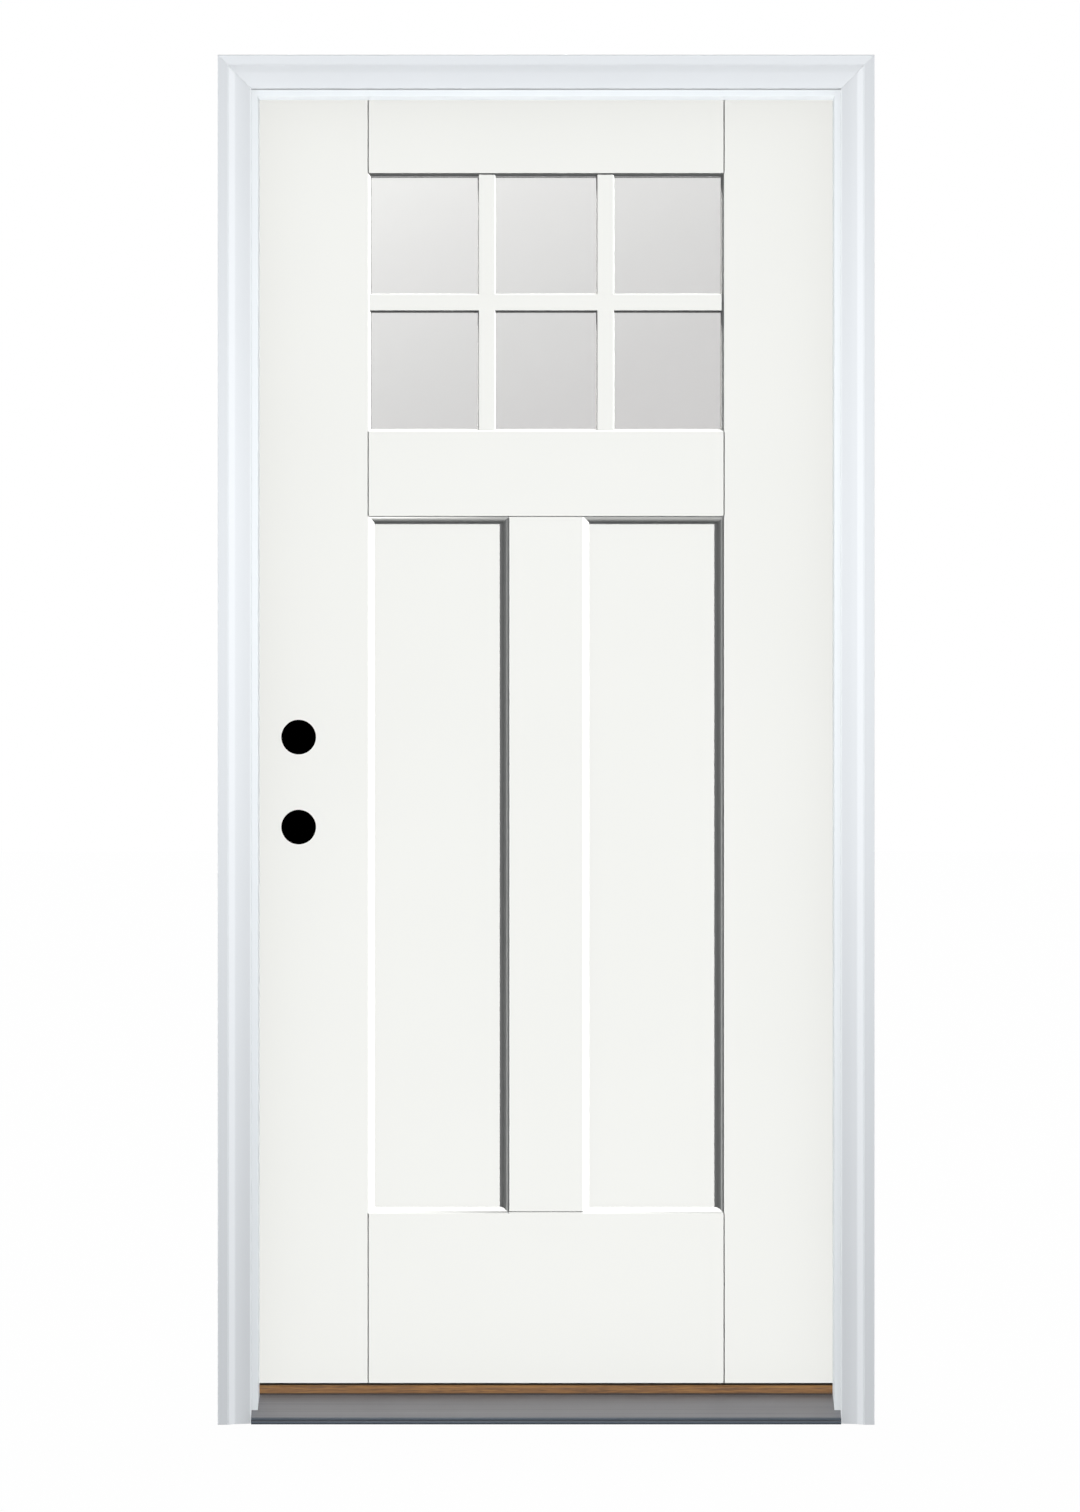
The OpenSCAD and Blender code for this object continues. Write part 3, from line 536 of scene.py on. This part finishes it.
def merged_copy(node):
    mesh = frame["nodes"][node].data.copy()
    form = bmesh.new()
    form.from_mesh(mesh)
    bmesh.ops.remove_doubles(form, verts=form.verts, dist=0.000002)
    bmesh.ops.dissolve_limit(form, angle_limit=math.radians(0.2), verts=form.verts,
                             edges=form.edges)
    form.to_mesh(mesh)
    form.free()
    if mesh.has_custom_normals:
        mesh.attributes.remove(mesh.attributes["custom_normal"])
    mesh.materials.clear()
    return mesh


def settle(thing, name):
    bpy.context.view_layer.update()
    seen_by = bpy.context.evaluated_depsgraph_get()
    mesh = bpy.data.meshes.new_from_object(thing.evaluated_get(seen_by))
    mesh.name = name
    bpy.data.objects.remove(thing)
    return mesh


def place_piece(name, mesh, body, nodes, finish=None):
    piece = bpy.data.objects.new(name, mesh)
    bpy.context.collection.objects.link(piece)
    if finish is not None:
        mesh.materials.clear()
        mesh.materials.append(finish)
    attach(piece, body)
    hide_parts(*nodes)
    return piece


def ease(node, body, finish, width_mm, turn=33, steps=2):
    mesh = merged_copy(node)
    rough = bpy.data.objects.new("rough_" + node, mesh)
    bpy.context.collection.objects.link(rough)
    for face in mesh.polygons:
        face.use_smooth = True
    mesh.set_sharp_from_angle(angle=math.radians(turn))
    rounding = rough.modifiers.new("eased", "BEVEL")
    rounding.width = width_mm * MM
    rounding.segments = steps
    rounding.limit_method = "ANGLE"
    rounding.angle_limit = math.radians(turn)
    rounding.harden_normals = True
    rounding.use_clamp_overlap = True
    flats = rough.modifiers.new("flats", "WEIGHTED_NORMAL")
    flats.weight = 100
    flats.keep_sharp = True
    mesh = settle(rough, node + "_eased")
    piece = place_piece(node + "_eased", mesh, body, [node], finish)
    EASED.append((piece.name, len(mesh.polygons)))
    return piece


# %% [markdown]
# ## The slab's skins
#
# The two skins carry the whole face layout: the moulded panels, the glazed opening and the fine
# seams. Their arrises are crisp, a fifth of a millimetre, and so are those of the bars over the glass.

# %% Skins and the bars over the glass
for side, finish in (("exterior", skin_white), ("interior", indoor_white)):
    for part in ("_skin", "_crossbar", "_uprights"):
        ease(side + part, "door", finish, 0.2)
ease("glazing_surround", "door", surround_white, 0.3)
print(EASED)

# %% [markdown]
# ## Inside the slab
#
# The stiles and rails show on the slab's edges when it stands open, and the lock block shows inside
# the bores. They are sawn timber, so their corners are softer than the skins'.

# %% Stiles, rails, block and core
EASED.clear()
for node in ("lock_stile", "hinge_stile", "lock_block"):
    ease(node, "door", pine, 0.3)
for node in ("top_rail", "bottom_rail"):
    ease(node, "door", pine_rail, 0.3)
ease("foam_core", "door", core_cream, 0.4)
ease("door_sweep", "door", sweep_brown, 0.15)
print(EASED)

# %% [markdown]
# ## The sealed glass
#
# Two panes stand either side of a hollow metal spacer, on two rubber blocks, bedded in tape.

# %% Glass unit
EASED.clear()
for node in ("exterior_pane", "interior_pane"):
    pane = ease(node, "door", glass, 0.3, steps=1)
    pane.visible_shadow = False
for node in ("exterior_glazing_tape", "interior_glazing_tape"):
    ease(node, "door", tape_black, 0.1, steps=1)
ease("glass_spacer", "door", spacer_metal, 0.3)
ease("setting_blocks", "door", rubber_block, 0.3)
print(EASED)

# %% [markdown]
# ## Jambs and casing
#
# The jambs are planed boards with a rabbet, and the casing is a run of moulding mitred at the head.
# Paint rounds their arrises to about half a millimetre.

# %% Frame timber
EASED.clear()
for node in ("strike_jamb", "hinge_jamb", "head_jamb"):
    ease(node, "frame", jamb_white, 0.4)
for node in ("strike_brickmould", "hinge_brickmould"):
    ease(node, "frame", side_casing_white, 0.45)
ease("head_brickmould", "frame", head_casing_white, 0.45)
ease("corner_pads", "frame", seal_grey, 0.8)
print(EASED)

# %% [markdown]
# ## The sill
#
# A drawn aluminium deck slopes over a grey core, and the oak cap sits in its channel under the slab.

# %% Sill
EASED.clear()
ease("sill_substrate", "frame", sill_core, 0.2)
ease("sill_deck", "frame", sill_metal, 0.2)
ease("threshold_cap", "frame", oak, 0.4)
print(EASED)

# %% [markdown]
# ## Hinges
#
# Each hinge is two rolled leaves and a loose pin. The pins stay with the frame and turn in the
# slab's knuckles.

# %% Leaves and pins
EASED.clear()
for place in ("top", "middle", "bottom"):
    for part, body in (("_jamb_leaf", "frame"), ("_door_leaf", "door"), ("_hinge_pin", "frame")):
        ease(place + part, body, nickel, 0.25)
print(EASED)

# %% [markdown]
# ## Screws by Geometry Nodes
#
# Thirty-seven screws hold the unit together, and they differ only in place, direction and how far
# the driver turned them. So one screw is modelled once, and a small node tree sets a copy on each
# point of a guide mesh, aims it along that point's arrow, and turns it by a seeded random angle.
# The screw has a countersunk head with a cross recess, a shank and a tapered tip.


# %% One countersunk screw
HEAD_R = 4.15
SHANK_R = 2.05
HEAD_H = 2.1
ROUND = 28
ARM_OUT = 2.35
ARM_HALF = 0.52
RECESS_H = 1.5


def cross_outline(out, half, z):
    corner = [(out, -half), (out, half), (half, half)]
    points = []
    for quarter in range(4):
        turn = quarter * math.pi / 2
        for x, y in corner:
            points.append((x * math.cos(turn) - y * math.sin(turn),
                           x * math.sin(turn) + y * math.cos(turn), z))
    return points


def screw_mesh(name, length):
    form = bmesh.new()

    def ring(radius, z):
        return [form.verts.new((radius * math.cos(2 * math.pi * i / ROUND),
                                radius * math.sin(2 * math.pi * i / ROUND), z))
                for i in range(ROUND)]

    rings = [ring(HEAD_R - 0.18, 0), ring(HEAD_R, -0.12), ring(HEAD_R, -0.3),
             ring(SHANK_R, -HEAD_H), ring(SHANK_R, 4 - length), ring(0.35, -length)]
    for upper, lower in zip(rings, rings[1:]):
        for i in range(ROUND):
            j = (i + 1) % ROUND
            form.faces.new((upper[i], upper[j], lower[j], lower[i])).smooth = True
    form.faces.new(rings[-1])
    mouth = [form.verts.new(p) for p in cross_outline(ARM_OUT, ARM_HALF, 0)]
    base = [form.verts.new(p) for p in cross_outline(ARM_OUT * 0.55, ARM_HALF * 0.7, -RECESS_H)]
    for i in range(len(mouth)):
        j = (i + 1) % len(mouth)
        form.faces.new((mouth[i], mouth[j], base[j], base[i]))
    form.faces.new(base)
    rim = [form.edges.get((rings[0][i], rings[0][(i + 1) % ROUND])) for i in range(ROUND)]
    lip = [form.edges.get((mouth[i], mouth[(i + 1) % len(mouth)])) for i in range(len(mouth))]
    bmesh.ops.triangle_fill(form, edges=rim + lip, use_beauty=True)
    bmesh.ops.scale(form, vec=(MM, MM, MM), verts=form.verts)
    bmesh.ops.recalc_face_normals(form, faces=form.faces)
    mesh = bpy.data.meshes.new(name)
    form.to_mesh(mesh)
    form.free()
    mesh.set_sharp_from_angle(angle=math.radians(40))
    return mesh


# %% The tree that sets them
def screw_tree():
    tree = bpy.data.node_groups.new("set_screws", "GeometryNodeTree")
    face = tree.interface
    face.new_socket("Places", in_out="INPUT", socket_type="NodeSocketGeometry")
    face.new_socket("Screw", in_out="INPUT", socket_type="NodeSocketObject")
    face.new_socket("Turn Seed", in_out="INPUT", socket_type="NodeSocketInt")
    face.new_socket("Finish", in_out="INPUT", socket_type="NodeSocketMaterial")
    face.new_socket("Screws", in_out="OUTPUT", socket_type="NodeSocketGeometry")
    given = put(tree, "NodeGroupInput").outputs
    arrow = put(tree, "GeometryNodeInputNamedAttribute", {"data_type": "FLOAT_VECTOR"},
                {"Name": "out_of_surface"}).outputs[0]
    aim = put(tree, "FunctionNodeAlignRotationToVector", {"axis": "Z"},
              {"Vector": arrow}).outputs[0]
    turn = put(tree, "FunctionNodeRandomValue", {"data_type": "FLOAT"},
               {2: 0.0, 3: math.pi / 2, "Seed": given["Turn Seed"]}).outputs[1]
    spin = put(tree, "FunctionNodeAxisAngleToRotation", None,
               {"Axis": (0, 0, 1), "Angle": turn}).outputs[0]
    both = put(tree, "FunctionNodeRotateRotation", {"rotation_space": "LOCAL"},
               {0: aim, 1: spin}).outputs[0]
    one = put(tree, "GeometryNodeObjectInfo", None, {"Object": given["Screw"]})
    points = put(tree, "GeometryNodeMeshToPoints", None, {"Mesh": given["Places"]})
    copies = put(tree, "GeometryNodeInstanceOnPoints", None,
                 {"Points": points.outputs[0], "Instance": one.outputs["Geometry"],
                  "Rotation": both})
    real = put(tree, "GeometryNodeRealizeInstances", None, {0: copies.outputs[0]})
    coated = put(tree, "GeometryNodeSetMaterial", None,
                 {"Geometry": real.outputs[0], "Material": given["Finish"]})
    put(tree, "NodeGroupOutput", None, {0: coated.outputs[0]})
    return tree


SET_SCREWS = screw_tree()


def give(modifier, tree, values):
    for item in tree.interface.items_tree:
        if item.in_out == "INPUT" and item.name in values:
            modifier[item.identifier] = values[item.name]


def set_screws(node, body, places, arrow_of, length, seed):
    guide = bpy.data.meshes.new("places_" + node)
    guide.from_pydata([tuple(v * MM for v in p) for p in places], [], [])
    arrows = guide.attributes.new("out_of_surface", "FLOAT_VECTOR", "POINT")
    for i, p in enumerate(places):
        arrows.data[i].vector = arrow_of(p)
    holder = bpy.data.objects.new("guide_" + node, guide)
    bpy.context.collection.objects.link(holder)
    pattern = bpy.data.objects.new("pattern_" + node, screw_mesh("pattern_" + node, length))
    bpy.context.collection.objects.link(pattern)
    build = holder.modifiers.new("screws", "NODES")
    build.node_group = SET_SCREWS
    give(build, SET_SCREWS, {"Screw": pattern, "Turn Seed": seed, "Finish": zinc})
    mesh = settle(holder, node + "_set")
    bpy.data.objects.remove(pattern)
    piece = place_piece(node + "_set", mesh, body, [node])
    print(piece.name, len(places), "screws,", len(mesh.polygons), "faces")
    return piece


# %% [markdown]
# The hinge screws are staggered, four to a leaf. The cap's screws stand along its length, and the
# frame's go through the jambs into the sill and the head.

# %% Where the screws go
SINK = 0.05
hinge_zs = [(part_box(p + "_jamb_leaf")[0][2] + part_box(p + "_jamb_leaf")[1][2]) / 2 / MM
            for p in ("bottom", "middle", "top")]
leaf_rows = [(-38.1, 87.6), (-12.7, 105.4), (12.7, 87.6), (38.1, 105.4)]
RABBET_X = 457.2
SLAB_EDGE_X = 454.025
FRAME_EDGE_X = 476.25
CAP_TOP = 51.0
CAP_PITCH = 181.61
CAP_SCREW_Y = 87.55
FRAME_SCREW_YS = (28.975, 92.72)
FRAME_SCREW_ZS = (12.43, 2067.2)
jamb_places = [(RABBET_X + SINK, y, z + dz) for z in hinge_zs for dz, y in leaf_rows]
door_places = [(SLAB_EDGE_X - SINK, y, z + dz) for z in hinge_zs for dz, y in leaf_rows]
cap_places = [((i - 2) * CAP_PITCH, CAP_SCREW_Y, CAP_TOP - SINK) for i in range(5)]
frame_places = [(side * (FRAME_EDGE_X - SINK), y, z) for side in (-1, 1)
                for y in FRAME_SCREW_YS for z in FRAME_SCREW_ZS]

set_screws("jamb_leaf_screws", "frame", jamb_places,
           lambda p: (-1, 0, 0), 15.9, 3)
set_screws("door_leaf_screws", "door", door_places,
           lambda p: (1, 0, 0), 25.9, 5)
set_screws("cap_screws", "frame", cap_places, lambda p: (0, 0, 1), 22.9, 7)
set_screws("frame_screws", "frame", frame_places,
           lambda p: (math.copysign(1, p[0]), 0, 0), 49.5, 11)

# %% [markdown]
# ## Weatherstrips by Geometry Nodes
#
# A weatherstrip is one outline drawn out along the stop: a foam bulb in a vinyl skin, flat on the
# stop and the jamb, with a rounded nose that the slab presses. A small tree sweeps the outline along
# a path. Three paths give the two sides and the head, and an arrow on each path turns the nose
# towards the slab.

# %% The strip's outline
STRIP_STEPS = 60
NOSE_AT = (6.2, 16.2)
STRIP_OUTLINE = ((1.0, 0.0), (4.1, 0.0), (4.6, 0.55), (5.1, 0.0), (10.7, 0.0), (11.4, 0.3),
                 (11.7, 1.0), (11.7, 9.4), (11.35, 11.2), (10.6, 12.9), (9.5, 14.4), (8.2, 15.5),
                 (7.2, 16.0), NOSE_AT, (5.2, 15.95), (4.2, 15.3), (3.2, 14.2), (2.2, 12.6),
                 (1.3, 10.7), (0.6, 8.6), (0.15, 6.4), (0.0, 4.2), (0.0, 1.0), (0.3, 0.3))


def loop_mesh(name, points, closed):
    mesh = bpy.data.meshes.new(name)
    count = len(points)
    edges = [(i, (i + 1) % count) for i in range(count if closed else count - 1)]
    mesh.from_pydata([tuple(v * MM for v in p) for p in points], edges, [])
    return mesh


# %% The tree that sweeps it
def sweep_tree():
    tree = bpy.data.node_groups.new("sweep_strip", "GeometryNodeTree")
    face = tree.interface
    face.new_socket("Path", in_out="INPUT", socket_type="NodeSocketGeometry")
    face.new_socket("Outline", in_out="INPUT", socket_type="NodeSocketObject")
    face.new_socket("Outline Right", in_out="INPUT", socket_type="NodeSocketVector")
    face.new_socket("Steps", in_out="INPUT", socket_type="NodeSocketInt")
    face.new_socket("Finish", in_out="INPUT", socket_type="NodeSocketMaterial")
    face.new_socket("Strip", in_out="OUTPUT", socket_type="NodeSocketGeometry")
    given = put(tree, "NodeGroupInput").outputs
    run = put(tree, "GeometryNodeMeshToCurve", None, {"Mesh": given["Path"]})
    steps = put(tree, "GeometryNodeResampleCurve", None,
                {"Curve": run.outputs[0], "Count": given["Steps"]})
    aimed = put(tree, "GeometryNodeSetCurveNormal", {"mode": "FREE"},
                {"Curve": steps.outputs[0], "Normal": given["Outline Right"]})
    drawn = put(tree, "GeometryNodeObjectInfo", None, {"Object": given["Outline"]})
    ring = put(tree, "GeometryNodeMeshToCurve", None, {"Mesh": drawn.outputs["Geometry"]})
    swept = put(tree, "GeometryNodeCurveToMesh", None,
                {"Curve": aimed.outputs[0], "Profile Curve": ring.outputs[0], "Fill Caps": True})
    real = put(tree, "GeometryNodeRealizeInstances", None, {0: swept.outputs[0]})
    coated = put(tree, "GeometryNodeSetMaterial", None,
                 {"Geometry": real.outputs[0], "Material": given["Finish"]})
    put(tree, "NodeGroupOutput", None, {0: coated.outputs[0]})
    return tree


SWEEP_STRIP = sweep_tree()


def sweep_strip(node, path, right):
    outline = bpy.data.objects.new("outline_" + node, loop_mesh(
        "outline_" + node, [(u, v, 0) for u, v in STRIP_OUTLINE], True))
    bpy.context.collection.objects.link(outline)
    holder = bpy.data.objects.new("path_" + node, loop_mesh("path_" + node, path, False))
    bpy.context.collection.objects.link(holder)
    build = holder.modifiers.new("sweep", "NODES")
    build.node_group = SWEEP_STRIP
    give(build, SWEEP_STRIP, {"Outline": outline, "Outline Right": right,
                              "Steps": STRIP_STEPS, "Finish": seal_grey})
    mesh = settle(holder, node + "_swept")
    bpy.data.objects.remove(outline)
    form = bmesh.new()
    form.from_mesh(mesh)
    bmesh.ops.recalc_face_normals(form, faces=form.faces)
    for face in form.faces:
        face.smooth = True
    form.to_mesh(mesh)
    form.free()
    mesh.set_sharp_from_angle(angle=math.radians(40))
    piece = place_piece(node + "_swept", mesh, "frame", [node])
    corners = [[round(f(v.co[i] for v in mesh.vertices) / MM, 2) for i in range(3)]
               for f in (min, max)]
    print(piece.name, len(mesh.polygons), "faces, from", corners[0], "to", corners[1])
    return piece


# %% Three strips
def strip_path(node, side):
    low, high = [[v / MM for v in corner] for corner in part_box(node)]
    if side == "head":
        return [(high[0], low[1], low[2]), (low[0], low[1], low[2])]
    if side == "hinge":
        return [(low[0], low[1], low[2]), (low[0], low[1], high[2])]
    return [(high[0], low[1], high[2]), (high[0], low[1], low[2])]


for side, right in (("hinge", (1, 0, 0)), ("strike", (-1, 0, 0)), ("head", (0, 0, 1))):
    strip = side + "_weatherstrip"
    sweep_strip(strip, strip_path(strip, side), right)

# %% [markdown]
# ## Painted shade in the bores
#
# The two bores for the lock go right through, and in front of a white room they would show as white
# discs. So each bore holds a black disc of painted shade, just behind the outer skin, that only the
# lens sees, only from outdoors, and it swings with the slab.

# %% Painted shade discs
bore_shade_black = bpy.data.materials.new("bore_shade_black")
bore_shade_black.use_nodes = True
tree = bore_shade_black.node_tree
tree.nodes.clear()
facing = put(tree, "ShaderNodeNewGeometry")
dark = put(tree, "ShaderNodeEmission", None, {"Color": (0, 0, 0, 1), "Strength": 0.0})
clear = put(tree, "ShaderNodeBsdfTransparent")
one_way = put(tree, "ShaderNodeMixShader", None,
              {0: facing.outputs["Backfacing"], 1: dark.outputs[0], 2: clear.outputs[0]})
put(tree, "ShaderNodeOutputMaterial", None, {"Surface": one_way.outputs[0]})

BORES = ((-0.384175, 0.91725), (-0.384175, 1.05695))
CARD_R = 0.0272
CARD_Y = 0.0745
# Each disc is painted shade: black to the lens, clear from behind, and it casts no shadow.
for number, (x, z) in enumerate(BORES):
    ring = [(x + CARD_R * math.cos(math.pi * i / 24), CARD_Y,
             z + CARD_R * math.sin(math.pi * i / 24)) for i in range(48)]
    card = bpy.data.objects.new("bore_card_%d" % number, sheet_mesh("bore_shade_disc", ring))
    card.data.materials.append(bore_shade_black)
    bpy.context.collection.objects.link(card)
    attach(card, "door")
    card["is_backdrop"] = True
    card.visible_shadow = False
    card.visible_diffuse = False
    card.visible_glossy = False
    card.visible_transmission = False
    print(card.name, "normal", tuple(card.data.polygons[0].normal))

# %% [markdown]
# ## Which lamp lights what
#
# The slab's mouldings want a raking key and the casing wants even, frontal light, as when a slab and
# its frame are lit one after the other. Light linking does both at once. Each lamp gets the pieces
# it may light, and only the slab's pieces may shade them. The head casing is kept from the side
# lamps, and the lamp straight below lights only the head jamb's underside.

# %% Light linking
def group(name, wanted):
    members = bpy.data.collections.new(name)
    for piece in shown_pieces():
        if wanted(piece):
            members.objects.link(piece)
    return members


on_slab = group("slab_pieces", lambda p: body_of(p) == ["door"])
head_casing = group("head_casing", lambda p: p.name == "head_brickmould_eased")
rest_of_frame = group("rest_of_frame", lambda p: body_of(p) == ["frame"]
                      and p.name != "head_brickmould_eased")
head_inside = group("head_inside", lambda p: p.name == "head_jamb_eased")
jambs_and_sill = group("jambs_and_sill", lambda p: body_of(p) == ["frame"]
                       and "brickmould" not in p.name)
for lamp, lit_pieces in ((slab_key, on_slab), (jamb_key, jambs_and_sill),
                         (head_key, head_casing), (head_foot, head_casing),
                         (soffit_light, head_inside),
                         (frame_box, rest_of_frame),
                         (washes[0], rest_of_frame), (washes[1], rest_of_frame)):
    lamp.light_linking.receiver_collection = lit_pieces
    lamp.light_linking.blocker_collection = on_slab
fill.light_linking.blocker_collection = on_slab
rear.light_linking.receiver_collection = on_slab
rear_frame.light_linking.receiver_collection = group(
    "frame_pieces", lambda p: body_of(p) == ["frame"])
